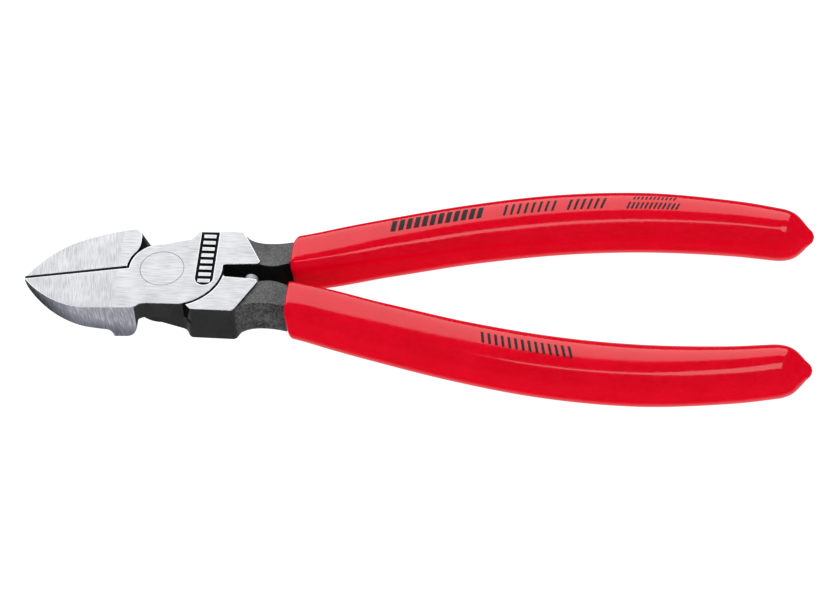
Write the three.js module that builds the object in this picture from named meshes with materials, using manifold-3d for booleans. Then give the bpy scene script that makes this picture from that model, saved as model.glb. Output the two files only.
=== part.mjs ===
// Diagonal cutting pliers with a riveted lap joint and dipped plastic grips.
//
// Units are millimetres. The rivet's axis is Z, the handles point along +X and the
// jaws along -X. The origin is on the rivet's axis at the underside of the joint.
// lever_a carries the -Y jaw and the +Y handle, and its half of the lap is on top.
// lever_b carries the +Y jaw and the -Y handle, and its half of the lap is underneath.

import * as THREE from 'three';
import { ConvexGeometry } from 'three/addons/geometries/ConvexGeometry.js';
import { mergeVertices } from 'three/addons/utils/BufferGeometryUtils.js';
import Module from 'manifold-3d';

const wasm = await Module();
wasm.setup();

// Head
const HEAD_THICKNESS = 9;
const MID = HEAD_THICKNESS / 2;
const LAP_GAP = 0.2;
const BEYOND = 2;
const CURVE_STEPS = 20;

// Rivet, flush on both faces
const RIVET_HEAD_RADIUS = 4.45;
const RIVET_SHANK_RADIUS = 3;
const RIVET_HEAD_EDGE = 0.8;
const RIVET_CLEARANCE = 0.1;
const RIVET_SEGMENTS = 48;

// Cutting line: a straight line from the joint to the tip
const LINE_START = new THREE.Vector2(-6.75, 0.13);
const LINE_TIP = new THREE.Vector2(-27.8, -3.58);
const HALF_JAW_GAP = 0.25;
const EDGE_LAND = 0.4;
const BEVEL_ANGLE = THREE.MathUtils.degToRad(34);
const BEVEL_START = 2.2;
const BEVEL_RUNOUT = 3.5;

// Lap boss around the rivet, and the round shoulder that the other handle follows
const BOSS_RADIUS = 6.75;
const BOSS_GAP = 0.55;
const SHOULDER_CENTRE = new THREE.Vector2(2.1, 0.7);
const SHOULDER_RADIUS = 10.3;
const SHOULDER_GAP = 0.52;
const SHOULDER_START = THREE.MathUtils.degToRad(-76);
const SHOULDER_END = THREE.MathUtils.degToRad(2);

// Behind lever_b's jaw the wall leans back from the face towards the lap
const REAR_WALL_X = -5.15;
const REAR_WALL_LEAN = 1.75 / MID;

// Behind lever_a's jaw the forging is round, from the underside up to the lap
const HEEL_X = -4.15;
const HEEL_LENGTH = 2.5;

// Sunk panel across the polished plate, with a row of raised bars
const PANEL_X = 8.9;
const PANEL_WIDTH = 3.7;
const PANEL_END_Y = -2.2;
const PANEL_DEPTH = 0.35;
const BAR_COUNT = 8;
const BAR_LENGTH = 2.5;
const BAR_WIDTH = 0.9;
const BAR_PITCH = 1.71;
const BAR_FIRST_Y = 9.15;
const BAR_HEIGHT = 0.27;

// Handles
const SHANK_THICKNESS = 8;
const SHANK_CHAMFER = 0.25;
const SHANK_END_X = 26;
const NECK_CHAMFER = 0.6;
const TANG_THICKNESS = 6.6;
const TANG_CHAMFER = 0.7;
const TANG_STEPS = 30;
const STOP_PEG_RADIUS = 1.3;
const STOP_PEG_AT = new THREE.Vector3(18.4, 2.15, 1.6);
const STOP_PEG_LENGTH = 3.3;

// Grips
const GRIP_CLEARANCE = 0.3;
const GRIP_STEPS = 30;
const GRIP_SIDES = 20;
const MOUTH_BLEND = 14;

const STEEL = { color: 0xc9cace, roughness: 0.35, metalness: 1 };
const RED_PLASTIC = { color: 0xcf0a1e, roughness: 0.3, metalness: 0 };

// Centreline of lever_a's handle in plan: x, y
const HANDLE_LINE = new THREE.CatmullRomCurve3([
  [17, 5.3],
  [26, 6.2],
  [44, 11],
  [62, 15.6],
  [80, 18.9],
  [98, 20.2],
  [116, 19.35],
  [127, 17.9],
  [132.3, 17.7],
].map(([x, y]) => new THREE.Vector3(x, y, 0)));

// The neck that runs from the shank into the mouth of the grip: x, inner y, outer y
const NECK = [
  [24.6, 2.25, 8.5],
  [28.4, 3.6, 9.35],
];

// Half width of the tang along the handle: x, half width
const TANG_WIDTHS = [
  [27.4, 2.4],
  [34, 2.9],
  [62, 3.6],
  [84, 3.8],
  [104, 3.4],
  [121, 2.6],
  [124, 1.6],
];

// Outside of the grip along the handle: x, half width, half thickness
const GRIP_STATIONS = [
  [26.1, 4.9, 4.85],
  [27, 5.05, 4.9],
  [44, 5.66, 5],
  [62, 6.2, 5],
  [80, 6.5, 5],
  [98, 6.5, 5],
  [112, 6.1, 5],
  [122.5, 5.7, 5],
  [125.8, 5.45, 5],
  [127.6, 4.95, 4.65],
  [128.6, 4.45, 4.1],
  [129.6, 3.55, 3.35],
  [131, 2, 1.9],
  [131.9, 1.1, 1.05],
  [132.3, 0, 0],
];

// Exponents of the grip's section along the handle, for its outer and its inner half:
// 2 is an ellipse, more is squarer
const GRIP_SQUARENESS = [
  [26, 3.3, 4.4],
  [33, 3.1, 3.9],
  [44, 2.9, 3],
  [62, 2.7, 2.5],
  [98, 2.6, 2.2],
  [132.3, 2.1, 2.1],
];

// A closed three.js geometry as a solid that can be joined and cut.
function solid(geometry) {
  const bare = geometry.clone();
  bare.deleteAttribute('normal');
  bare.deleteAttribute('uv');
  const merged = mergeVertices(bare, 1e-4);
  return new wasm.Manifold(new wasm.Mesh({
    numProp: 3,
    vertProperties: new Float32Array(merged.attributes.position.array),
    triVerts: new Uint32Array(merged.index.array),
  }));
}

function geometryOf(body) {
  const mesh = body.getMesh();
  const geometry = new THREE.BufferGeometry();
  geometry.setAttribute('position', new THREE.BufferAttribute(mesh.vertProperties, 3));
  geometry.setIndex(new THREE.BufferAttribute(mesh.triVerts, 1));
  const flat = geometry.toNonIndexed();
  flat.computeVertexNormals();
  return flat;
}

function joined(geometries) {
  return geometries.map(solid).reduce((whole, piece) => whole.add(piece));
}

function cut(body, geometries) {
  return geometries.map(solid).reduce((whole, tool) => whole.subtract(tool), body);
}

// A plan outline pulled up from z = low to z = high, with an optional edge chamfer.
function prism(shape, low, high, chamfer = 0) {
  const geometry = new THREE.ExtrudeGeometry(shape, {
    depth: high - low - 2 * chamfer,
    curveSegments: CURVE_STEPS,
    bevelEnabled: chamfer > 0,
    bevelSize: chamfer,
    bevelOffset: -chamfer,
    bevelThickness: chamfer,
    bevelSegments: 1,
  });
  return geometry.translate(0, 0, low + chamfer);
}

// Half a turn about the X axis at mid thickness: top and bottom, +Y and -Y change places.
function turnedOver(geometry) {
  return geometry.clone().rotateX(Math.PI).translate(0, 0, HEAD_THICKNESS);
}

// Lap plate with the boss, the round shoulder and the face of the handle block.
function lapPlate() {
  const shape = new THREE.Shape();
  shape.moveTo(-4.2, -9);
  shape.lineTo(-2.2, -9.35);
  shape.absarc(SHOULDER_CENTRE.x, SHOULDER_CENTRE.y, SHOULDER_RADIUS, SHOULDER_START, SHOULDER_END, false);
  shape.quadraticCurveTo(12.35, 1.65, 13.1, 1.68);
  shape.lineTo(19.1, 2.02);
  shape.quadraticCurveTo(19.9, 2.1, 19.75, 2.95);
  shape.lineTo(15.9, 10.2);
  shape.quadraticCurveTo(15.6, 10.65, 15, 10.65);
  shape.lineTo(7, 10.5);
  shape.quadraticCurveTo(6.3, 10.45, 5.9, 9.5);
  shape.quadraticCurveTo(5.5, 8.4, 4.5, 8.15);
  shape.lineTo(2.4, 7.5);
  shape.absarc(0, 0, BOSS_RADIUS, Math.PI / 2, Math.PI, false);
  return prism(shape, MID + LAP_GAP / 2, HEAD_THICKNESS);
}

// The handle block below the lap plate: it stands clear of the other lever's shoulder.
function handleBlock() {
  const radius = SHOULDER_RADIUS + SHOULDER_GAP;
  const from = THREE.MathUtils.degToRad(10.5);
  const to = THREE.MathUtils.degToRad(69);
  const shape = new THREE.Shape();
  shape.absarc(SHOULDER_CENTRE.x, -SHOULDER_CENTRE.y, radius, to, from, true);
  shape.lineTo(13, 1.6);
  shape.lineTo(19.1, 2.02);
  shape.quadraticCurveTo(19.9, 2.1, 19.75, 2.95);
  shape.lineTo(15.9, 10.2);
  shape.quadraticCurveTo(15.6, 10.65, 15, 10.65);
  shape.lineTo(7, 10.5);
  return prism(shape, 0, MID + LAP_GAP);
}

// The jaw of lever_a in plan, running back under its lap plate.
function jawOutlineA() {
  const shape = new THREE.Shape();
  shape.moveTo(LINE_TIP.x, LINE_TIP.y - HALF_JAW_GAP);
  shape.bezierCurveTo(-25.05, -7.3, -20, -11.05, -14.5, -11.05);
  shape.lineTo(-5.3, -10.68);
  shape.quadraticCurveTo(-4.4, -10.6, -3.9, -10);
  shape.quadraticCurveTo(-3.4, -9.45, -2.2, -9.35);
  shape.lineTo(0, -9.3);
  shape.lineTo(0, LINE_START.y - HALF_JAW_GAP);
  shape.lineTo(LINE_START.x, LINE_START.y - HALF_JAW_GAP);
  return shape;
}

// The jaw of lever_b in plan, running back over its lap plate.
function jawOutlineB() {
  const shape = new THREE.Shape();
  shape.moveTo(LINE_TIP.x, LINE_TIP.y + HALF_JAW_GAP);
  shape.lineTo(LINE_START.x, LINE_START.y + HALF_JAW_GAP);
  shape.lineTo(0, LINE_START.y + HALF_JAW_GAP);
  shape.lineTo(0, 9.3);
  shape.lineTo(-2.2, 9.35);
  shape.quadraticCurveTo(-4.2, 10.6, -6.9, 10.62);
  shape.bezierCurveTo(-18.64, 7.7, -23.1, 4.43, LINE_TIP.x, LINE_TIP.y + HALF_JAW_GAP);
  return shape;
}

// Room for the other lever's boss in the upper half of a jaw.
function bossCut() {
  const boss = new THREE.Shape();
  boss.absarc(0, 0, BOSS_RADIUS + BOSS_GAP, 0, 2 * Math.PI, false);
  return prism(boss, MID - LAP_GAP / 2, HEAD_THICKNESS + BEYOND);
}

// What is cut off behind lever_b's jaw in the upper half, up to the leaning wall.
function rearWallCut() {
  const wall = new THREE.Shape();
  wall.moveTo(REAR_WALL_X - 0.7, 4.3);
  wall.lineTo(6, 4.3);
  wall.lineTo(6, 14);
  wall.lineTo(-7.1, 14);
  wall.lineTo(-7.1, 10.8);
  wall.quadraticCurveTo(-5.6, 10.6, REAR_WALL_X, 8.6);
  wall.lineTo(REAR_WALL_X, 6.9);
  wall.quadraticCurveTo(REAR_WALL_X - 0.05, 5.4, REAR_WALL_X - 0.7, 4.3);
  const leaning = prism(wall, MID - LAP_GAP / 2, HEAD_THICKNESS + BEYOND);
  leaning.applyMatrix4(new THREE.Matrix4().makeShear(0, 0, 0, 0, -REAR_WALL_LEAN, 0));
  return leaning.translate(REAR_WALL_LEAN * HEAD_THICKNESS, 0, 0);
}

// What is cut off behind lever_a's jaw in the lower half, up to the round heel.
function heelCut() {
  const high = MID + LAP_GAP / 2;
  const side = new THREE.Shape();
  side.moveTo(6, -BEYOND);
  side.lineTo(6, high);
  side.lineTo(HEEL_X, high);
  side.quadraticCurveTo(HEEL_X - 0.25, 0.3, HEEL_X - HEEL_LENGTH, 0);
  side.lineTo(HEEL_X - HEEL_LENGTH, -BEYOND);
  return prism(side, 4.3, 14).rotateX(Math.PI / 2);
}

// The bevels that meet at the cutting edges and open towards the underside.
function cuttingBevels() {
  const along = LINE_TIP.clone().sub(LINE_START).normalize();
  const across = new THREE.Vector2(-along.y, along.x);
  const top = HEAD_THICKNESS - EDGE_LAND;
  const halfWidth = (top + BEYOND) * Math.tan(BEVEL_ANGLE);
  const length = LINE_TIP.distanceTo(LINE_START) + BEYOND;
  const at = (distance, side, z) => {
    const plan = LINE_START.clone().addScaledVector(along, distance).addScaledVector(across, side);
    return new THREE.Vector3(plan.x, plan.y, z);
  };
  return new ConvexGeometry([
    at(BEVEL_START, 0, top),
    at(BEVEL_START + BEVEL_RUNOUT, halfWidth, -BEYOND),
    at(BEVEL_START + BEVEL_RUNOUT, -halfWidth, -BEYOND),
    at(length, 0, top),
    at(length, halfWidth, -BEYOND),
    at(length, -halfWidth, -BEYOND),
  ]);
}

// The jaws thin out underneath, from a step in front of the joint to the tip.
function jawTaper() {
  const side = new THREE.Shape();
  side.moveTo(-9.2, -BEYOND);
  side.lineTo(-9.3, 0.4);
  side.quadraticCurveTo(-9.7, 2.05, -11, 2.2);
  side.splineThru([
    [-13.3, 2.65],
    [-17.7, 3.7],
    [-22.5, 5.05],
    [-26.5, 6.7],
    [-28.4, 8.4],
  ].map(([x, z]) => new THREE.Vector2(x, z)));
  side.lineTo(-30, 8.4);
  side.lineTo(-30, -BEYOND);
  const width = 30;
  return prism(side, -width / 2, width / 2).rotateX(Math.PI / 2);
}

// Rivet profile turned about Z; grow widens it into the bore that it sits in.
function rivetBody(grow) {
  const head = RIVET_HEAD_RADIUS + grow;
  const shank = RIVET_SHANK_RADIUS + grow;
  const coneEnd = RIVET_HEAD_EDGE + RIVET_HEAD_RADIUS - RIVET_SHANK_RADIUS;
  const over = grow > 0 ? BEYOND : 0;
  const profile = [
    [0, -over],
    [head, -over],
    [head, RIVET_HEAD_EDGE],
    [shank, coneEnd],
    [shank, HEAD_THICKNESS - coneEnd],
    [head, HEAD_THICKNESS - RIVET_HEAD_EDGE],
    [head, HEAD_THICKNESS + over],
    [0, HEAD_THICKNESS + over],
  ].map(([r, z]) => new THREE.Vector2(r, z));
  return new THREE.LatheGeometry(profile, RIVET_SEGMENTS).rotateX(Math.PI / 2);
}

// Linear value from a table of [x, value, ...] rows.
function valueAt(table, x, column = 1) {
  const next = table.findIndex((row) => row[0] >= x);
  if (next <= 0) {
    return next === 0 ? table[0][column] : table.at(-1)[column];
  }
  const [before, after] = [table[next - 1], table[next]];
  return THREE.MathUtils.mapLinear(x, before[0], after[0], before[column], after[column]);
}

// Unit normal of the handle's centreline in plan, square to X at the mouth of the grip.
function handleNormal(u, x) {
  const tangent = HANDLE_LINE.getTangentAt(u);
  const square = new THREE.Vector3(0, 1, 0);
  const blend = THREE.MathUtils.smoothstep(x, GRIP_STATIONS[0][0], GRIP_STATIONS[0][0] + MOUTH_BLEND);
  return square.lerp(new THREE.Vector3(-tangent.y, tangent.x, 0), blend).normalize();
}

// Tang outline in plan, grown by a margin on every side but its front end.
function tangShape(margin) {
  const from = uAtX(TANG_WIDTHS[0][0]);
  const to = uAtX(TANG_WIDTHS.at(-1)[0] + margin);
  const inner = [];
  const outer = [];
  for (let i = 0; i <= TANG_STEPS; i += 1) {
    const u = THREE.MathUtils.lerp(from, to, i / TANG_STEPS);
    const centre = HANDLE_LINE.getPointAt(u);
    const normal = handleNormal(u, centre.x);
    const half = valueAt(TANG_WIDTHS, centre.x) + margin;
    inner.push(centre.clone().addScaledVector(normal, -half));
    outer.push(centre.clone().addScaledVector(normal, half));
  }
  const loop = [...inner, ...outer.reverse()];
  return new THREE.Shape(loop.map((point) => new THREE.Vector2(point.x, point.y)));
}

// The bare neck between the handle block and the grip.
function shank() {
  const shape = new THREE.Shape();
  shape.moveTo(12.5, 10.2);
  shape.lineTo(12.5, 4.5);
  shape.lineTo(18.4, 2.7);
  shape.quadraticCurveTo(20.4, 1.65, 22.4, 1.7);
  shape.quadraticCurveTo(23.6, 1.75, NECK[0][0], NECK[0][1]);
  shape.lineTo(SHANK_END_X, valueAt(NECK, SHANK_END_X));
  shape.lineTo(SHANK_END_X, valueAt(NECK, SHANK_END_X, 2));
  shape.lineTo(NECK[0][0], NECK[0][2]);
  shape.quadraticCurveTo(22.5, 8.1, 20.5, 8.2);
  shape.quadraticCurveTo(17.6, 8.35, 16.4, 9.9);
  shape.lineTo(15, 10.3);
  return prism(shape, MID - SHANK_THICKNESS / 2, MID + SHANK_THICKNESS / 2, SHANK_CHAMFER);
}

// The neck, or with a margin the pocket for it in the mouth of the grip.
function neck(margin) {
  const [[fromX, fromInner, fromOuter], [toX, toInner, toOuter]] = NECK;
  const half = SHANK_THICKNESS / 2 + margin;
  const shape = new THREE.Shape();
  shape.moveTo(fromX, fromInner - margin);
  shape.lineTo(toX + margin, toInner - margin);
  shape.lineTo(toX + margin, toOuter + margin);
  shape.lineTo(fromX, fromOuter + margin);
  return prism(shape, MID - half, MID + half, NECK_CHAMFER);
}

function tang() {
  return prism(tangShape(0), MID - TANG_THICKNESS / 2, MID + TANG_THICKNESS / 2, TANG_CHAMFER);
}

// Peg on the inner side of lever_b's handle that meets the other handle at the end of a cut.
function stopPeg() {
  const peg = new THREE.CylinderGeometry(STOP_PEG_RADIUS, STOP_PEG_RADIUS, STOP_PEG_LENGTH, 16);
  return peg.translate(STOP_PEG_AT.x, STOP_PEG_AT.y, STOP_PEG_AT.z);
}

function panelCut() {
  const half = PANEL_WIDTH / 2;
  const shape = new THREE.Shape();
  shape.moveTo(PANEL_X + half, 14);
  shape.lineTo(PANEL_X - half, 14);
  shape.lineTo(PANEL_X - half, PANEL_END_Y);
  shape.absarc(PANEL_X, PANEL_END_Y, half, Math.PI, 2 * Math.PI, false);
  return prism(shape, HEAD_THICKNESS - PANEL_DEPTH, HEAD_THICKNESS + BEYOND);
}

function panelBars() {
  const floor = HEAD_THICKNESS - PANEL_DEPTH;
  const height = BAR_HEIGHT + PANEL_DEPTH;
  return Array.from({ length: BAR_COUNT }, (_, i) => {
    const bar = new THREE.BoxGeometry(BAR_LENGTH, BAR_WIDTH, height);
    return bar.translate(PANEL_X, BAR_FIRST_Y - i * BAR_PITCH, floor + BAR_HEIGHT - height / 2);
  });
}

// Everything behind the jaws, drawn for lever_a.
function handleParts() {
  return [lapPlate(), handleBlock(), shank(), neck(0), tang()];
}

function leverA() {
  const jaw = cut(solid(prism(jawOutlineA(), 0, HEAD_THICKNESS)), [turnedOver(bossCut()), heelCut()]);
  const whole = jaw.add(joined(handleParts()));
  const carved = cut(whole, [cuttingBevels(), jawTaper(), rivetBody(RIVET_CLEARANCE), panelCut()]);
  return carved.add(joined(panelBars()));
}

function leverB() {
  const jaw = cut(solid(prism(jawOutlineB(), 0, HEAD_THICKNESS)), [bossCut(), rearWallCut()]);
  const whole = jaw.add(joined([...handleParts(), stopPeg()].map(turnedOver)));
  return cut(whole, [cuttingBevels(), jawTaper(), rivetBody(RIVET_CLEARANCE)]);
}

const signedPower = (value, power) => Math.sign(value) * Math.abs(value) ** power;

// Outer skin of the grip on the +Y handle: rings of a lathe bent onto the handle's line.
function gripSkin() {
  const first = GRIP_STATIONS[0][0];
  const last = GRIP_STATIONS.at(-1)[0];
  const range = [0, 1].map((end) => uAtX(end ? last : first));
  const profile = [new THREE.Vector2(0, 0)];
  for (let i = 0; i < GRIP_STEPS; i += 1) {
    profile.push(new THREE.Vector2(1, (i / GRIP_STEPS) ** 0.8));
  }
  profile.push(new THREE.Vector2(0, 1));
  const skin = new THREE.LatheGeometry(profile, GRIP_SIDES);
  const place = skin.attributes.position;
  for (let i = 0; i < place.count; i += 1) {
    const angle = Math.atan2(place.getX(i), place.getZ(i));
    const size = Math.hypot(place.getX(i), place.getZ(i));
    const u = THREE.MathUtils.lerp(range[0], range[1], place.getY(i));
    const centre = HANDLE_LINE.getPointAt(Math.min(u, 1));
    const normal = handleNormal(Math.min(u, 1), centre.x);
    const power = 2 / valueAt(GRIP_SQUARENESS, centre.x, Math.cos(angle) > 0 ? 1 : 2);
    const across = size * valueAt(GRIP_STATIONS, centre.x) * signedPower(Math.cos(angle), power);
    const up = size * valueAt(GRIP_STATIONS, centre.x, 2) * signedPower(Math.sin(angle), power);
    place.setXYZ(i, centre.x + normal.x * across, centre.y + normal.y * across, MID + up);
  }
  return skin;
}

// The handle line's arc-length parameter at a given x.
function uAtX(x) {
  let [low, high] = [0, 1];
  for (let i = 0; i < 40; i += 1) {
    const middle = (low + high) / 2;
    if (HANDLE_LINE.getPointAt(middle).x < x) {
      low = middle;
    } else {
      high = middle;
    }
  }
  return high;
}

function gripA() {
  const hollow = prism(
    tangShape(GRIP_CLEARANCE),
    MID - TANG_THICKNESS / 2 - GRIP_CLEARANCE,
    MID + TANG_THICKNESS / 2 + GRIP_CLEARANCE,
  );
  return cut(solid(gripSkin()), [hollow, neck(GRIP_CLEARANCE)]);
}

function part(name, geometry, look) {
  const mesh = new THREE.Mesh(geometry, new THREE.MeshStandardMaterial(look));
  mesh.name = name;
  return mesh;
}

const gripGeometry = geometryOf(gripA());

const pliers = new THREE.Group();
pliers.add(part('lever_a', geometryOf(leverA()), STEEL));
pliers.add(part('lever_b', geometryOf(leverB()), STEEL));
pliers.add(part('rivet', rivetBody(0), STEEL));
pliers.add(part('grip_a', gripGeometry, RED_PLASTIC));
pliers.add(part('grip_b', turnedOver(gripGeometry), RED_PLASTIC));

export default pliers;
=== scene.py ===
import math

import bmesh
import bpy
from mathutils import Matrix, Vector

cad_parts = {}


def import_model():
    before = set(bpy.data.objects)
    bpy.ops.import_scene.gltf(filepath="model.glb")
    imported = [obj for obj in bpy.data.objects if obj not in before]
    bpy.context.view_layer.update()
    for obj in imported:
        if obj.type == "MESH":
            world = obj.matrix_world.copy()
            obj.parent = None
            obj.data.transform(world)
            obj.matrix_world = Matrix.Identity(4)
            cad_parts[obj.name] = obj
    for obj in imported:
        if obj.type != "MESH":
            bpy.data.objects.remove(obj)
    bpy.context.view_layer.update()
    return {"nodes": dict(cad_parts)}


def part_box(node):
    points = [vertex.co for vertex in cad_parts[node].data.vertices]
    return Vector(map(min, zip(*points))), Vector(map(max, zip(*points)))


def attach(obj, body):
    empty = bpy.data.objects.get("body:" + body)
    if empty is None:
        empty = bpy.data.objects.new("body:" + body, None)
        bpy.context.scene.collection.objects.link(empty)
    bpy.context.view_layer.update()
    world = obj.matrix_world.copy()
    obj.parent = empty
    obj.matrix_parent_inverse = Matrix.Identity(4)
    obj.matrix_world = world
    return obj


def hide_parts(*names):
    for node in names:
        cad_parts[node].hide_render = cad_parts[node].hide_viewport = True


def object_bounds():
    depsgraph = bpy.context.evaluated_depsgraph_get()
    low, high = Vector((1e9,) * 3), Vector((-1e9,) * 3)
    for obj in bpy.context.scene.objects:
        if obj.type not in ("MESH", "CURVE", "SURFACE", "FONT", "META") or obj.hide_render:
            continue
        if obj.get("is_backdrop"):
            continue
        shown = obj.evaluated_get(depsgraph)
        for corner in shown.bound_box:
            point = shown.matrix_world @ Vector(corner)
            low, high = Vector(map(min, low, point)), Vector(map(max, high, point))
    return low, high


# Diagonal cutting pliers: the looks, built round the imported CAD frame.
#
# Everything is in metres in the CAD's own frame. The origin is on the rivet's axis at the
# underside of the joint, the handles point along +X, the jaws along -X, and +Z is up.
# lever_a has the -Y jaw and the +Y handle; lever_b has the +Y jaw and the -Y handle.

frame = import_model()

MM = 0.001
HEAD_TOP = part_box("lever_a")[1].z
MID = HEAD_TOP / 2

# Mesh clean-up: points closer than WELD are one, triangles thinner than SLIVER go, and a level
# face nearer than LEVEL_TOLERANCE to the head's top or underside is part of it
WELD = 0.002 * MM
SLIVER = 0.01 * MM
LEVEL_TOLERANCE = 0.02 * MM

# Chamfers worn round the ground faces and round the tops of the raised bars: width, drop
FACE_RIM = 0.17 * MM
FACE_RIM_DROP = 0.015 * MM
BAR_RIM = 0.12 * MM
BAR_RIM_DROP = 0.008 * MM

# Edges that turn by more than this stay sharp: on steel, then on plastic and print
STEEL_SHARP = math.radians(12)
SKIN_SHARP = math.radians(60)

# Corners of an outline that turn by more than this pinch the chamfer beside them
PINCH_TURN = math.radians(50)

# Jaws: their rear end, the notch where the cutting edges end, the upright land over each
# bevel, and how near to mid height a level face belongs to the lap
JAW_END_X = -4.5 * MM
NOTCH_X = -9 * MM
EDGE_LAND = 0.5 * MM
LAP_ZONE = 0.4 * MM

# Joint: the rivet and a margin round it, the sunk panel in x, how deep the tops of its bars
# and its floor lie at most, and where the gap round the far shoulder lies
RIVET_RADIUS = 4.45 * MM
RIVET_MARGIN = 0.3 * MM
PANEL_FROM_X = 7 * MM
PANEL_TO_X = 10.9 * MM
BAR_SINK = 0.12 * MM
PANEL_SINK = 1 * MM
GAP_X = 5.3 * MM
SHOULDER_RADIUS = 12 * MM

# Throat between the shoulder blocks, the stop peg in it (x and z of its axis), where the grainy
# shanks start, and how near to the top or the underside the blocks' smooth walls reach
THROAT_X = 11.5 * MM
THROAT_HALF_WIDTH = 4 * MM
PEG_AT = (18.4 * MM, 7.4 * MM)
PEG_RADIUS = 1.35 * MM
PEG_END_Y = -1.9 * MM
GRAIN_FROM_X = 12.4 * MM
BLOCK_WALL_END_X = 19.9 * MM
GRAIN_MARGIN = 0.45 * MM
FACE_REACH = 0.1 * MM

# Centreline of lever_a's handle in plan, in millimetres: x, y
HANDLE_LINE = [
    (17, 5.3),
    (26, 6.2),
    (44, 11),
    (62, 15.6),
    (80, 18.9),
    (98, 20.2),
    (116, 19.35),
    (127, 17.9),
    (132.3, 17.7),
]

# Outside of the grip along the handle, in millimetres: x, half width, half thickness
GRIP_STATIONS = [
    (27, 5.05, 4.9),
    (44, 5.66, 5),
    (62, 6.2, 5),
    (80, 6.5, 5),
    (98, 6.5, 5),
    (112, 6.1, 5),
    (122.5, 5.7, 5),
    (125.8, 5.45, 5),
    (127.6, 4.95, 4.65),
    (128.6, 4.45, 4.1),
    (129.6, 3.55, 3.35),
    (131, 2, 1.9),
    (131.9, 1.1, 1.05),
    (132.3, 0, 0),
]

# Squareness of the grip's section along the handle: x in millimetres, exponent of its outer
# half, exponent of its inner half
GRIP_SQUARENESS = [
    (26, 3.3, 4.4),
    (33, 3.1, 3.9),
    (44, 2.9, 3),
    (62, 2.7, 2.5),
    (98, 2.6, 2.2),
    (132.3, 2.1, 2.1),
]

# Rounded lip at the mouth: distance behind the mouth, depth under the outside, in millimetres
GRIP_LIP = [(0.9, 2.6), (0.06, 1.5), (0, 0.75), (0.05, 0.45), (0.2, 0.2), (0.5, 0.05)]

# Mouth of the grip, in millimetres: its x, how uneven it is, the length over which that fades,
# and where and over what length the section turns from square to X to square to the handle
MOUTH_X = 26
MOUTH_WAVE = 0.05
MOUTH_FADE = 8
MOUTH_BLEND_X = 26.1
MOUTH_BLEND = 14

# Past this x, in millimetres, the section is square to X again
TIP_X = 131

RING_SIDES = 120
RING_ANGLES = [2 * math.pi * i / RING_SIDES for i in range(RING_SIDES)]
ROWS_PER_STATION = 9
STEPS_PER_POINT = 40

# Printed rows of slanted bars, in millimetres. The skin is PRINT_LIFT smaller than the CAD's
# outside, which the print's top is level with
PRINT_LIFT = 0.04
PRINT_DEPTH = 0.1
PRINT_STEPS = 10
PRINT_SLANT = 0.35
# Side, first and last x, inner and outer edge at the first and at the last x, bar width, gap
PRINTED_ROWS = [
    (1, 46.3, 64.6, (-0.1, 2.85), (-0.1, 2.85), 1.0, 0.57),
    (1, 69, 79.3, (-0.2, 2.7), (-0.2, 2.7), 0.5, 0.9),
    (1, 82, 89.3, (-0.2, 2.7), (-0.2, 2.7), 0.5, 0.86),
    (1, 94, 104.4, (-0.35, 1.4), (-0.35, 1.4), 0.4, 0.51),
    (1, 95.2, 103.6, (2.3, 3.2), (2.3, 3.2), 0.35, 0.45),
    (-1, 66.2, 84.5, (-2.1, 0.6), (-1.9, 1.1), 0.55, 0.81),
]

# Studio: the middle of the cards' arcs and their distances in metres, and how strongly each
# thing glows. Reflections see the pale floor round PALE_FLOOR_WAY and the dim room elsewhere
STUDIO_CENTRE = Vector((0.052, 0, MID))
PANEL_DISTANCE = 0.9
PANEL_STRENGTH = 1.62
TOP_DISTANCE = 0.8
TOP_STRENGTH = 2.4
FLOOR_HALF_SIZE = 4
FLOOR_GLOW = 0.95
AMBIENT = 0.8
ROOM_GLOW = 0.012
PALE_FLOOR_GLOW = 0.6
PALE_FLOOR_WAY = Vector((0, 0.42, -0.91)).normalized()

# Camera: where it looks from and how it is rolled, its distance in metres, lens in millimetres
CAMERA_AZIMUTH = math.radians(7.666)
CAMERA_ELEVATION = math.radians(49.351)
CAMERA_ROLL = math.radians(4.024)
CAMERA_DISTANCE = 0.73105
CAMERA_TARGET = Vector((0.052814, -0.002441, MID))
CAMERA_LENS = 154.3


# ---------------------------------------------------------------- small helpers

def smoothstep(value, low, high):
    """0 below low, 1 above high, smooth between."""
    t = min(max((value - low) / (high - low), 0), 1)
    return t * t * (3 - 2 * t)


def lookup(table, x, column):
    """Smooth value from a table of (x, value, ...) rows, flat beyond its ends."""
    if x <= table[0][0]:
        return table[0][column]
    for i in range(1, len(table)):
        if x <= table[i][0]:
            before, after = table[i - 1], table[i]
            t = (x - before[0]) / (after[0] - before[0])
            t = t * t * (3 - 2 * t) * 0.35 + t * 0.65
            return before[column] + (after[column] - before[column]) * t
    return table[-1][column]


def catmull_rom(points, steps):
    """Centripetal Catmull-Rom curve through tuples of numbers, as a list of Vectors."""
    knots = [Vector(p) for p in points]
    knots = [2 * knots[0] - knots[1], *knots, 2 * knots[-1] - knots[-2]]
    out = []
    for p0, p1, p2, p3 in zip(knots, knots[1:], knots[2:], knots[3:]):
        d0, d1, d2 = (max((b - a).length, 1e-9) ** 0.5 for a, b in ((p0, p1), (p1, p2), (p2, p3)))
        m1 = ((p1 - p0) / d0 - (p2 - p0) / (d0 + d1) + (p2 - p1) / d1) * d1
        m2 = ((p2 - p1) / d1 - (p3 - p1) / (d1 + d2) + (p3 - p2) / d2) * d1
        for i in range(steps):
            t = i / steps
            out.append(
                (2 * t**3 - 3 * t**2 + 1) * p1
                + (t**3 - 2 * t**2 + t) * m1
                + (-2 * t**3 + 3 * t**2) * p2
                + (t**3 - t**2) * m2
            )
    out.append(knots[-2])
    return out


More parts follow.
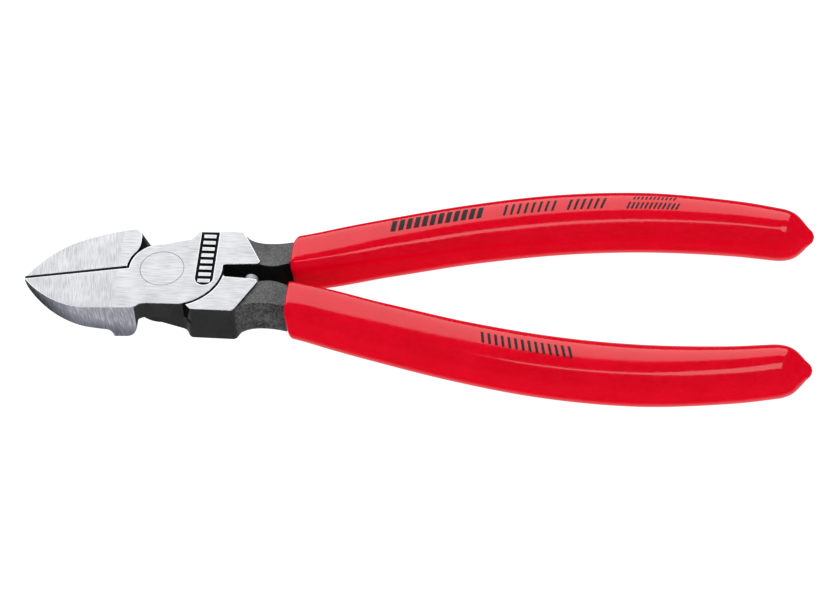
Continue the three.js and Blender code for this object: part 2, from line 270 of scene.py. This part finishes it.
def bridge(bm, rings):
    """Quads between closed rings of points that follow each other."""
    for low, high in zip(rings, rings[1:]):
        for i in range(len(low)):
            j = (i + 1) % len(low)
            bm.faces.new((low[i], low[j], high[j], high[i]))


def object_from(bm, name, materials, sharp):
    """A smooth-shaded object, with sharp edges at corners and between finishes."""
    mesh = bpy.data.meshes.new(name)
    bm.normal_update()
    for face in bm.faces:
        face.smooth = True
    for edge in bm.edges:
        finishes = {face.material_index for face in edge.link_faces}
        edge.smooth = len(finishes) == 1 and edge.calc_face_angle(0) < sharp
    bm.to_mesh(mesh)
    bm.free()
    for material in materials:
        mesh.materials.append(material)
    obj = bpy.data.objects.new(name, mesh)
    bpy.context.scene.collection.objects.link(obj)
    return obj


# ---------------------------------------------------------------- materials

class Nodes:
    """A material's node tree with short calls for the few node kinds used here."""

    def __init__(self, name):
        self.material = bpy.data.materials.new(name)
        self.material.use_nodes = True
        self.tree = self.material.node_tree
        self.shader = self.tree.nodes["Principled BSDF"]
        coordinates = self.tree.nodes.new("ShaderNodeTexCoord")
        self.place = coordinates.outputs["Object"]

    def link(self, source, target):
        """Link from an output socket to an input socket."""
        self.tree.links.new(source, target)

    def new(self, kind, **inputs):
        """A node with its inputs by name: a value or a socket to link from."""
        node = self.tree.nodes.new(kind)
        for key, value in inputs.items():
            socket = node.inputs[key.replace("_", " ")]
            if isinstance(value, bpy.types.NodeSocket):
                self.link(value, socket)
            else:
                socket.default_value = value
        return node

    def noise(self, size, detail=2.0, roughness=0.5, turn=(0, 0, 0)):
        """Noise whose grains are size millimetres long along X, Y and Z, then turned."""
        sizes = size if isinstance(size, tuple) else (size, size, size)
        mapping = self.new(
            "ShaderNodeMapping",
            Vector=self.place,
            Rotation=[math.radians(angle) for angle in turn],
            Scale=[MM * length for length in sizes],
        )
        mapping.vector_type = "TEXTURE"
        texture = self.new(
            "ShaderNodeTexNoise",
            Vector=mapping.outputs["Vector"],
            Scale=1.0,
            Detail=detail,
            Roughness=roughness,
        )
        return texture.outputs["Fac"]

    def remap(self, value, low, high, to_low, to_high):
        """A number socket taken from low..high to to_low..to_high."""
        node = self.new("ShaderNodeMapRange", Value=value)
        node.inputs["From Min"].default_value = low
        node.inputs["From Max"].default_value = high
        node.inputs["To Min"].default_value = to_low
        node.inputs["To Max"].default_value = to_high
        return node.outputs["Result"]

    def mix(self, factor, first, second):
        """Mix of two numbers or number sockets."""
        node = self.tree.nodes.new("ShaderNodeMix")
        node.data_type = "FLOAT"
        for socket, value in zip(node.inputs[:1] + node.inputs[2:4], (factor, first, second)):
            if isinstance(value, bpy.types.NodeSocket):
                self.link(value, socket)
            else:
                socket.default_value = value
        return node.outputs[0]

    def ramp(self, factor, *stops):
        """Colour ramp from (position, (r, g, b)) stops."""
        node = self.new("ShaderNodeValToRGB", Fac=factor)
        elements = node.color_ramp.elements
        while len(elements) < len(stops):
            elements.new(0.5)
        for element, (position, colour) in zip(elements, stops):
            element.position = position
            element.color = (*colour, 1)
        return node.outputs["Color"]

    def bump(self, height, strength, distance):
        """Fine relief of the surface; distance is in metres."""
        node = self.new("ShaderNodeBump", Height=height, Strength=strength, Distance=distance)
        self.link(node.outputs["Normal"], self.shader.inputs["Normal"])

    def set(self, **values):
        """Shader sockets by name: a number, a colour or a socket to link from."""
        for key, value in values.items():
            socket = self.shader.inputs[key.replace("_", " ")]
            if isinstance(value, bpy.types.NodeSocket):
                self.link(value, socket)
            else:
                socket.default_value = value


def streaks(nodes, length, thickness, turn=(0, 0, 0)):
    """Brushing strokes along X, then turned: coarse and fine strokes together, 0 to 1."""
    coarse = nodes.noise((length, thickness, thickness), 3, 0.6, turn)
    fine = nodes.noise((0.6 * length, 0.45 * thickness, 0.45 * thickness), 2, 0.5, turn)
    return nodes.mix(0.45, coarse, fine)


def ground_steel():
    """Ground faces: the jaws are brushed across their edges, the joint lengthwise."""
    nodes = Nodes("ground_steel")
    lengthwise = nodes.remap(streaks(nodes, 5, 0.2), 0, 1, 0.04, 1.04)
    crosswise = streaks(nodes, 4, 0.2, (0, 0, 98))
    position = nodes.new("ShaderNodeSeparateXYZ", Vector=nodes.place)
    wander = nodes.remap(nodes.noise(1.1), 0, 1, -0.6 * MM, 0.6 * MM)
    x = nodes.new("ShaderNodeMath")
    nodes.link(position.outputs["X"], x.inputs[0])
    nodes.link(wander, x.inputs[1])
    on_joint = nodes.remap(x.outputs[0], -9.4 * MM, -8.6 * MM, 0, 1)
    brushed = nodes.mix(on_joint, crosswise, lengthwise)
    nodes.set(
        Base_Color=nodes.ramp(
            nodes.mix(0.2, brushed, nodes.noise(3.8, 3)),
            (0.38, (0.42, 0.43, 0.46)),
            (0.5, (0.67, 0.68, 0.71)),
            (0.62, (0.88, 0.89, 0.92)),
        ),
        Metallic=0.75,
        Roughness=nodes.remap(brushed, 0.3, 0.7, 0.32, 0.46),
    )
    nodes.bump(brushed, 0.35, 0.012 * MM)
    return nodes.material


def polish_and_highlight_steel():
    """Fine chamfers round the ground faces: brighter than the ground faces from the last polish, with
    a painted edge highlight in that brightness.
    """
    nodes = Nodes("polish_and_highlight_steel")
    wear = nodes.noise(0.7, 3)
    nodes.set(
        Base_Color=nodes.ramp(wear, (0.3, (0.76, 0.77, 0.80)), (0.7, (0.88, 0.89, 0.91))),
        Metallic=0.8,
        Roughness=nodes.remap(wear, 0.3, 0.7, 0.2, 0.3),
    )
    nodes.bump(wear, 0.1, 0.01 * MM)
    return nodes.material


def jaw_side_steel():
    """Outer walls of the jaws: coarser ground, grey, with painted shade that darkens them towards the
    tip and the lower edge.
    """
    nodes = Nodes("jaw_side_steel")
    strokes = streaks(nodes, 3, 0.22, (0, 84, 0))
    position = nodes.new("ShaderNodeSeparateXYZ", Vector=nodes.place)
    # Painted shade: darker towards the tip along x, and towards the lower edge along a slanted height
    tip = nodes.remap(position.outputs["X"], -27 * MM, -17 * MM, -0.35, 0.6)
    lean = nodes.new("ShaderNodeMath")
    lean.operation = "MULTIPLY_ADD"
    nodes.link(position.outputs["X"], lean.inputs[0])
    lean.inputs[1].default_value = 0.27
    nodes.link(position.outputs["Z"], lean.inputs[2])
    height = nodes.remap(lean.outputs[0], -0.6 * MM, 2.4 * MM, 0.15, 0.6)
    strokes_and_painted_shade = nodes.mix(0.5, nodes.mix(0.5, tip, height), strokes)
    nodes.set(
        Base_Color=nodes.ramp(
            strokes_and_painted_shade,
            (0.28, (0.03, 0.032, 0.04)),
            (0.44, (0.22, 0.23, 0.28)),
            (0.54, (0.42, 0.43, 0.50)),
            (0.62, (0.80, 0.81, 0.89)),
        ),
        Metallic=0.35,
        Roughness=nodes.remap(strokes, 0.3, 0.7, 0.36, 0.52),
    )
    nodes.bump(strokes, 0.5, 0.03 * MM)
    return nodes.material


def black_steel(name, grain_size, grain_height, low, high, roughness, gloss=0.55):
    """Blackened forging skin; grain_size and grain_height are in millimetres."""
    nodes = Nodes(name)
    grain = nodes.noise(grain_size, 3, 0.62)
    nodes.set(
        Base_Color=nodes.ramp(
            nodes.mix(0.3, grain, nodes.noise(4.5, 3)),
            (0.38, (low, low, low * 1.04)),
            (0.62, (high, high, high * 1.03)),
        ),
        Metallic=0,
        Specular_IOR_Level=gloss,
        Roughness=nodes.remap(grain, 0.3, 0.7, roughness - 0.06, roughness + 0.1),
    )
    nodes.bump(grain, 0.8, grain_height * MM)
    return nodes.material


def red_plastic():
    """Dipped plastic: glossy, with the faint unevenness of a dip coating."""
    nodes = Nodes("red_plastic")
    sag = nodes.noise(6)
    skin = nodes.noise(0.9)
    nodes.set(
        Base_Color=nodes.ramp(
            nodes.mix(0.4, sag, skin),
            (0.3, (0.74, 0.0002, 0.012)),
            (0.7, (0.84, 0.0004, 0.017)),
        ),
        Roughness=nodes.remap(skin, 0.3, 0.7, 0.08, 0.13),
        IOR=1.54,
    )
    nodes.bump(nodes.mix(0.25, sag, skin), 0.2, 0.04 * MM)
    return nodes.material


def marking_ink():
    """Black pad print, slightly uneven."""
    nodes = Nodes("marking_ink")
    patch = nodes.noise(0.7, 3)
    nodes.set(
        Base_Color=nodes.ramp(patch, (0.3, (0.012, 0.010, 0.012)), (0.7, (0.030, 0.026, 0.028))),
        Roughness=nodes.remap(patch, 0.3, 0.7, 0.35, 0.5),
        Specular_IOR_Level=0.2,
    )
    nodes.bump(patch, 0.2, 0.01 * MM)
    return nodes.material


STEEL_KINDS = ["ground", "rim_polish_and_highlight", "jaw_side", "black", "grain", "black_and_painted_shade"]
STEEL = [
    ground_steel(),
    polish_and_highlight_steel(),
    jaw_side_steel(),
    black_steel("black_steel", 0.5, 0.012, 0.020, 0.034, 0.4),
    black_steel("black_grain", 0.42, 0.15, 0.006, 0.13, 0.46, 1.0),
    # Blackened steel made darker still: painted shade for gaps, hollows and walls turned from the
    # light
    black_steel("black_steel_painted_shade", 0.4, 0.02, 0.003, 0.008, 0.5, 0.08),
]


# ---------------------------------------------------------------- steel pieces

def is_flat_face(face):
    """True on the ground top and underside of the head."""
    z = face.calc_center_median().z
    level = abs(face.normal.z) > 0.999
    return level and (z > HEAD_TOP - LEVEL_TOLERANCE or z < LEVEL_TOLERANCE)


def is_bar_top(face):
    """True on the tops of the raised bars in the sunk panel."""
    centre = face.calc_center_median()
    in_panel = PANEL_FROM_X < centre.x < PANEL_TO_X
    raised = HEAD_TOP - BAR_SINK < centre.z < HEAD_TOP - LEVEL_TOLERANCE
    return face.normal.z > 0.999 and in_panel and raised


def boundary_loops(faces):
    """Ordered vertex loops round a region of faces, each with the region on its left."""
    region = set(faces)
    after = {}
    for face in faces:
        for loop in face.loops:
            if not any(other in region for other in loop.edge.link_faces if other is not face):
                after[loop.vert] = loop.link_loop_next.vert
    loops = []
    while after:
        vert = next(iter(after))
        ring = []
        while vert in after:
            ring.append(vert)
            vert = after.pop(vert)
        loops.append(ring)
    return loops


def inset_points(ring, width, up):
    """Points of a loop moved inwards in plan by width, less near sharp corners."""
    count = len(ring)
    places = [vert.co.copy() for vert in ring]
    steps = [(places[(i + 1) % count] - places[i]).normalized() for i in range(count)]
    corners = []
    for i in range(count):
        turn = steps[i - 1].angle(steps[i], 0)
        if turn > PINCH_TURN and steps[i - 1].cross(steps[i]).z * up > 0:
            corners.append((places[i], math.tan((math.pi - turn) / 2)))
    out = []
    for i in range(count):
        inward = [Vector((-step.y, step.x, 0)) * up for step in (steps[i - 1], steps[i])]
        bisector = (inward[0] + inward[1]).normalized()
        reach = width / max(bisector.dot(inward[1]), 0.6)
        for corner, steepness in corners:
            away = (places[i] - corner).length
            if away > 0:
                reach = min(reach, 0.7 * away * steepness)
        out.append(places[i] + bisector * reach)
    return out


def rim_faces(bm, faces, width, drop):
    """Gives a flat region a fine chamfer along its outline, but not round the rivet."""
    up = 1 if faces[0].normal.z > 0 else -1
    loops = boundary_loops(faces)
    bmesh.ops.delete(bm, geom=faces, context="FACES_ONLY")
    rim = set()
    inner_edges = []
    for ring in loops:
        if all(vert.co.xy.length < RIVET_RADIUS + RIVET_MARGIN for vert in ring):
            inner = ring
        else:
            inner = [bm.verts.new(point) for point in inset_points(ring, width, up)]
            for i in range(len(ring)):
                j = (i + 1) % len(ring)
                rim.add(bm.faces.new((ring[i], ring[j], inner[j], inner[i])))
            for vert in ring:
                vert.co.z -= drop * up
        for i in range(len(inner)):
            pair = (inner[i], inner[(i + 1) % len(inner)])
            inner_edges.append(bm.edges.get(pair) or bm.edges.new(pair))
    filled = bmesh.ops.triangle_fill(bm, edges=inner_edges, use_beauty=True, normal=(0, 0, up))
    for face in filled["geom"]:
        if isinstance(face, bmesh.types.BMFace) and face.normal.z * up < 0:
            face.normal_flip()
    return rim


def finish_of(face, handle_side):
    """Which finish a steel face has, by where it is; the darkest black paints shade into gaps,
    hollows and walls turned from the light. handle_side is +1 for lever_a.
    """
    centre = face.calc_center_median()
    if is_flat_face(face) or is_bar_top(face):
        return "ground"
    level = abs(face.normal.z) > 0.9
    on_jaw_side = -handle_side * centre.y > 0
    # Level faces between the laps near mid height: the darkest black, painted shade
    if level and on_jaw_side and centre.x > NOTCH_X and abs(centre.z - MID) < LAP_ZONE:
        return "black_and_painted_shade"
    # On a jaw, the walls along the gap and the rear wall get the darkest black, painted shade; the
    # outer walls get the jaw-side grey
    if centre.x < JAW_END_X and on_jaw_side:
        faces_gap = handle_side * face.normal.y > 0.5 and abs(face.normal.z) < 0.3
        edge_land = centre.z > HEAD_TOP - EDGE_LAND
        inner_wall = faces_gap and (centre.x > NOTCH_X or edge_land)
        rear_wall = face.normal.x > 0.5 and centre.z > MID
        return "black_and_painted_shade" if inner_wall or rear_wall else "jaw_side"
    # The sunk panel's floor gets the darkest black, for its black fill
    near_top = centre.z > HEAD_TOP - PANEL_SINK
    if level and near_top and PANEL_FROM_X < centre.x < PANEL_TO_X:
        return "black_and_painted_shade"
    # The stop peg takes the lighter jaw-side grey: bare steel with a painted highlight
    if handle_side < 0 and centre.y > PEG_END_Y:
        if math.hypot(centre.x - PEG_AT[0], centre.z - PEG_AT[1]) < PEG_RADIUS:
            return "jaw_side"
    inner_side = centre.x > THROAT_X and abs(centre.y) < THROAT_HALF_WIDTH
    facing_joint = centre.x > GAP_X and centre.z > MID and centre.xy.length < SHOULDER_RADIUS
    # Throat walls turned away from the back light: the darkest black, painted shade
    if inner_side and handle_side * face.normal.y < -0.3:
        return "black_and_painted_shade"
    # Walls in the gap round the far shoulder, facing the joint: the darkest black, painted shade
    if facing_joint and abs(face.normal.z) < 0.3:
        return "black_and_painted_shade"
    if centre.x > GRAIN_FROM_X and HEAD_TOP - GRAIN_MARGIN > centre.z > GRAIN_MARGIN:
        block_wall = abs(face.normal.z) < 0.1 and centre.x < BLOCK_WALL_END_X
        heights = [vert.co.z for vert in face.verts]
        touches_face = max(heights) > HEAD_TOP - FACE_REACH or min(heights) < FACE_REACH
        return "black" if block_wall and touches_face else "grain"
    return "black"


def along_gap(face):
    """True on a +Y jaw's chamfer along its cutting edge, which gets the darkest black as painted
    shade.
    """
    walls = {other for edge in face.edges for other in edge.link_faces if abs(other.normal.z) < 0.3}
    faces_gap = any(wall.normal.y < -0.5 for wall in walls)
    return faces_gap and face.calc_center_median().x < NOTCH_X


def welded_mesh(node):
    """The CAD node's own shape, with its triangles joined."""
    bm = bmesh.new()
    bm.from_mesh(frame["nodes"][node].data)
    bmesh.ops.remove_doubles(bm, verts=bm.verts, dist=WELD)
    return bm


def lever_piece(node, body, handle_side):
    """A lever with chamfered ground faces and its finishes."""
    bm = welded_mesh(node)
    bmesh.ops.dissolve_degenerate(bm, edges=bm.edges, dist=SLIVER)
    bm.normal_update()
    rim_polish_and_highlight = set()
    bar_tops = [f for f in bm.faces if is_bar_top(f)]
    if bar_tops:
        rim_polish_and_highlight |= rim_faces(bm, bar_tops, BAR_RIM, BAR_RIM_DROP)
    for side in (1, -1):
        flats = [f for f in bm.faces if is_flat_face(f) and f.normal.z * side > 0]
        rim_polish_and_highlight |= rim_faces(bm, flats, FACE_RIM, FACE_RIM_DROP)
    bm.normal_update()
    for face in bm.faces:
        kind = finish_of(face, handle_side)
        # The chamfers get the bright rim steel: polish plus a painted edge highlight
        if face in rim_polish_and_highlight:
            # On lever_b the chamfers along the jaw gap get the darkest black instead: painted shade
            kind = "black_and_painted_shade" if handle_side < 0 and along_gap(face) else "rim_polish_and_highlight"
        face.material_index = STEEL_KINDS.index(kind)
    piece = object_from(bm, node + "_steel", STEEL, STEEL_SHARP)
    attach(piece, body)
    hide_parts(node)


def rivet_piece():
    """The flush rivet: ground with the joint, with a hairline round its head."""
    bm = welded_mesh("rivet")
    bm.normal_update()
    for face in bm.faces:
        face.material_index = STEEL_KINDS.index("ground" if is_flat_face(face) else "black")
    piece = object_from(bm, "rivet_steel", STEEL, STEEL_SHARP)
    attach(piece, "lever_a_side")
    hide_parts("rivet")


lever_piece("lever_a", "lever_a_side", 1)
lever_piece("lever_b", "lever_b_side", -1)
rivet_piece()


# ---------------------------------------------------------------- grips

LINE = catmull_rom(HANDLE_LINE, STEPS_PER_POINT)
THICKEST = max(row[2] for row in GRIP_STATIONS)
OUTSIDE = [(x, w, min(h, THICKEST)) for x, w, h in catmull_rom(GRIP_STATIONS, ROWS_PER_STATION)]


def value_at(curve, x, column):
    """A curve's value at x, on the straight step between its points."""
    for a, b in zip(curve, curve[1:]):
        if x <= b[0]:
            return a[column] + (b[column] - a[column]) * (x - a[0]) / (b[0] - a[0])
    return curve[-1][column]


def line_y(x):
    """The handle line's y at x, in millimetres."""
    return value_at(LINE, x, 1)


def line_normal(x):
    """Plan normal of the handle line, square to X at the mouth of the grip."""
    slope = (line_y(x + 0.5) - line_y(x - 0.5)) if x < TIP_X else 0
    square = Vector((0, 1))
    own = Vector((-slope, 1)).normalized()
    share = smoothstep(x, MOUTH_BLEND_X, MOUTH_BLEND_X + MOUTH_BLEND)
    return square.lerp(own, share).normalized()


def signed_power(value, power):
    """A power of value's size, with value's sign."""
    return math.copysign(abs(value) ** power, value)


def section_point(x, angle, half_width, half_height):
    """Point of the grip's section at x. angle 0 is outward, a quarter turn is up."""
    power = 2 / lookup(GRIP_SQUARENESS, x, 1 if math.cos(angle) > 0 else 2)
    normal = line_normal(x)
    across = (half_width - PRINT_LIFT) * signed_power(math.cos(angle), power)
    up = (half_height - PRINT_LIFT) * signed_power(math.sin(angle), power)
    return Vector((x + normal.x * across, line_y(x) + normal.y * across, MID / MM + up))


def top_point(x, across, depth):
    """Point on a grip's top or depth under it. across is positive away from the other grip."""
    power = lookup(GRIP_SQUARENESS, x, 1 if across > 0 else 2)
    share = abs(across) / value_at(OUTSIDE, x, 1)
    up = value_at(OUTSIDE, x, 2) * (1 - share**power) ** (1 / power)
    normal = line_normal(x)
    return Vector((x + normal.x * across, line_y(x) + normal.y * across, MID / MM + up - depth))


def mouth_offset(angle, slant, corner, phase):
    """How far the mouth's edge stands back from its foremost point, in millimetres.

    The underside stands back by slant, and the outer corner on top by corner.
    """
    underneath = smoothstep(-math.sin(angle), -0.75, 0.9)
    outer_top = math.exp(-(((angle - math.radians(50)) / math.radians(22)) ** 2))
    wave = math.sin(3 * angle + phase) + 0.6 * math.sin(5 * angle + 2 * phase)
    return slant * underneath + corner * outer_top + MOUTH_WAVE * wave


def grip_rows():
    """(x, half width, half height, mouth share) of every ring, from the mouth to the tip."""
    first_x, mouth_width, mouth_height = GRIP_STATIONS[0]
    rows = []
    for behind, depth in GRIP_LIP:
        rows.append((MOUTH_X + behind, mouth_width - depth, mouth_height - depth, 1))
    for x, half_width, half_height in OUTSIDE[:-1]:
        share = 1 - smoothstep(x, first_x, first_x + MOUTH_FADE)
        rows.append((x, half_width, half_height, share))
    return rows


def grip_piece(node, body, side, slant, corner, phase):
    """A dipped grip on the handle at +Y (side 1) or -Y (side -1)."""
    bm = bmesh.new()
    rings = []
    for x, half_width, half_height, share in grip_rows():
        ring = []
        for angle in RING_ANGLES:
            back = mouth_offset(angle, slant, corner, phase) * share
            p = section_point(x + back, angle, half_width, half_height)
            ring.append(bm.verts.new((p.x * MM, side * p.y * MM, p.z * MM)))
        rings.append(ring)
    bridge(bm, rings)
    tip = LINE[-1]
    apex = bm.verts.new((tip.x * MM, side * tip.y * MM, MID))
    for i in range(RING_SIDES):
        bm.faces.new((rings[-1][i], rings[-1][(i + 1) % RING_SIDES], apex))
    bmesh.ops.recalc_face_normals(bm, faces=bm.faces)
    piece = object_from(bm, node + "_skin", [RED], SKIN_SHARP)
    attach(piece, body)
    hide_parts(node)


def printed_bar(bm, side, x, width, inner, outer):
    """A thin slanted bar of print across the handle, sunk a little into the skin."""
    rings = []
    for i in range(PRINT_STEPS + 1):
        share = i / PRINT_STEPS
        middle = x + PRINT_SLANT * (outer - inner) * (share - 0.5)
        across = inner + (outer - inner) * share
        ring = []
        for end, depth in ((-0.5, 0), (0.5, 0), (0.5, PRINT_DEPTH), (-0.5, PRINT_DEPTH)):
            p = top_point(middle + end * width, across, depth)
            ring.append(bm.verts.new((p.x * MM, side * p.y * MM, p.z * MM)))
        rings.append(ring)
    bridge(bm, rings)
    bm.faces.new(rings[0])
    bm.faces.new(rings[-1])


def printed_marks(name, body, side):
    """The rows of bars printed on one grip: plain marks that say nothing."""
    bm = bmesh.new()
    for row_side, first_x, last_x, first_edges, last_edges, width, gap in PRINTED_ROWS:
        if row_side != side:
            continue
        count = round((last_x - first_x + gap) / (width + gap))
        for i in range(count):
            share = i / (count - 1)
            inner, outer = (a + (b - a) * share for a, b in zip(first_edges, last_edges))
            x = first_x + width / 2 + (last_x - first_x - width) * share
            printed_bar(bm, side, x, width, inner, outer)
    bmesh.ops.recalc_face_normals(bm, faces=bm.faces)
    piece = object_from(bm, name, [INK], SKIN_SHARP)
    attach(piece, body)


RED = red_plastic()
INK = marking_ink()
grip_piece("grip_a", "lever_a_side", 1, 1.3, 0.6, 0.4)
grip_piece("grip_b", "lever_b_side", -1, 0.8, 0, 2.1)
printed_marks("grip_a_marks", "lever_a_side", 1)
printed_marks("grip_b_marks", "lever_b_side", -1)


# ---------------------------------------------------------------- stage, light and camera

def flat_sheet(name, corners, material):
    """One flat face through its corners, as a new object."""
    mesh = bpy.data.meshes.new(name)
    mesh.from_pydata(corners, [], [range(len(corners))])
    mesh.materials.append(material)
    obj = bpy.data.objects.new(name, mesh)
    bpy.context.scene.collection.objects.link(obj)
    return obj


def card(name, distance, corners, strength):
    """A white glowing card that the camera doesn't see, on an arc over the object.

    A corner is its angle from overhead in degrees, positive behind the object, and its x.
    """
    places = []
    for from_overhead, x in corners:
        angle = math.radians(from_overhead)
        offset = Vector((x, distance * math.sin(angle), distance * math.cos(angle)))
        places.append(STUDIO_CENTRE + offset)
    material = bpy.data.materials.new(name)
    material.use_nodes = True
    tree = material.node_tree
    tree.nodes.remove(tree.nodes["Principled BSDF"])
    glow = tree.nodes.new("ShaderNodeEmission")
    glow.inputs["Color"].default_value = (1, 1, 1, 1)
    glow.inputs["Strength"].default_value = strength
    tree.links.new(glow.outputs[0], tree.nodes["Material Output"].inputs["Surface"])
    obj = flat_sheet(name, places, material)
    obj.visible_camera = False
    obj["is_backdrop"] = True


def floor():
    """Plain pale floor under the object."""
    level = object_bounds()[0].z
    half = FLOOR_HALF_SIZE
    corners = [(x, y, level) for x, y in ((-half, -half), (half, -half), (half, half), (-half, half))]
    nodes = Nodes("floor")
    nodes.set(Base_Color=(0.3, 0.3, 0.3, 1), Roughness=0.9)
    nodes.set(Emission_Color=(1, 1, 1, 1), Emission_Strength=FLOOR_GLOW)
    obj = flat_sheet("floor", corners, nodes.material)
    obj.visible_glossy = False
    obj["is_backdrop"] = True


def world():
    """Even ambient light; in reflections a pale floor far below and a dim room elsewhere."""
    scene_world = bpy.data.worlds.new("studio")
    bpy.context.scene.world = scene_world
    scene_world.use_nodes = True
    tree = scene_world.node_tree
    tree.nodes.clear()
    output = tree.nodes.new("ShaderNodeOutputWorld")
    ambient = tree.nodes.new("ShaderNodeBackground")
    ambient.inputs["Color"].default_value = (1, 1, 1, 1)
    ambient.inputs["Strength"].default_value = AMBIENT
    room = tree.nodes.new("ShaderNodeBackground")
    path = tree.nodes.new("ShaderNodeLightPath")
    blend = tree.nodes.new("ShaderNodeMixShader")
    direction = tree.nodes.new("ShaderNodeTexCoord")
    facing = tree.nodes.new("ShaderNodeVectorMath")
    facing.operation = "DOT_PRODUCT"
    facing.inputs[1].default_value = PALE_FLOOR_WAY
    pale = tree.nodes.new("ShaderNodeMapRange")
    pale.inputs["From Min"].default_value = 0.6
    pale.inputs["From Max"].default_value = 0.85
    pale.inputs["To Min"].default_value = ROOM_GLOW
    pale.inputs["To Max"].default_value = PALE_FLOOR_GLOW
    tree.links.new(direction.outputs["Generated"], facing.inputs[0])
    tree.links.new(facing.outputs["Value"], pale.inputs["Value"])
    tree.links.new(pale.outputs["Result"], room.inputs["Strength"])
    tree.links.new(path.outputs["Is Glossy Ray"], blend.inputs["Fac"])
    tree.links.new(ambient.outputs[0], blend.inputs[1])
    tree.links.new(room.outputs[0], blend.inputs[2])
    tree.links.new(blend.outputs[0], output.inputs["Surface"])


def camera():
    """Camera in front of the object and above it, a little to the right and slightly rolled."""
    back = Vector((
        math.sin(CAMERA_AZIMUTH) * math.cos(CAMERA_ELEVATION),
        -math.cos(CAMERA_AZIMUTH) * math.cos(CAMERA_ELEVATION),
        math.sin(CAMERA_ELEVATION),
    ))
    level = Vector((math.cos(CAMERA_AZIMUTH), math.sin(CAMERA_AZIMUTH), 0))
    upright = back.cross(level)
    right = math.cos(CAMERA_ROLL) * level - math.sin(CAMERA_ROLL) * upright
    up = math.sin(CAMERA_ROLL) * level + math.cos(CAMERA_ROLL) * upright
    data = bpy.data.cameras.new("camera")
    data.lens = CAMERA_LENS
    data.sensor_width = 36
    data.clip_start = 0.01
    data.clip_end = 20
    obj = bpy.data.objects.new("camera", data)
    bpy.context.scene.collection.objects.link(obj)
    turn = Matrix((right, up, back)).transposed().to_4x4()
    obj.matrix_world = Matrix.Translation(CAMERA_TARGET + back * CAMERA_DISTANCE) @ turn
    bpy.context.scene.camera = obj


# Big soft panel behind the object, its upper edge a little lower towards the handle ends
card(
    "back_panel",
    PANEL_DISTANCE,
    [
        (30, -1.1),
        (30, -0.2),
        (36, -0.05),
        (37, 0.05),
        (40, 0.11),
        (40, 0.35),
        (79, 0.35),
        (79, -1.1),
    ],
    PANEL_STRENGTH,
)
# Narrow card overhead, wider towards the handle ends
card(
    "top_card",
    TOP_DISTANCE,
    [
        (2, -0.13),
        (6.5, 0.03),
        (9, 0.1),
        (12, 0.3),
        (-14, 0.3),
        (-8, 0.12),
        (0, 0.03),
        (-3, -0.13),
    ],
    TOP_STRENGTH,
)
floor()
world()
camera()
bpy.context.scene.view_settings.view_transform = "Standard"
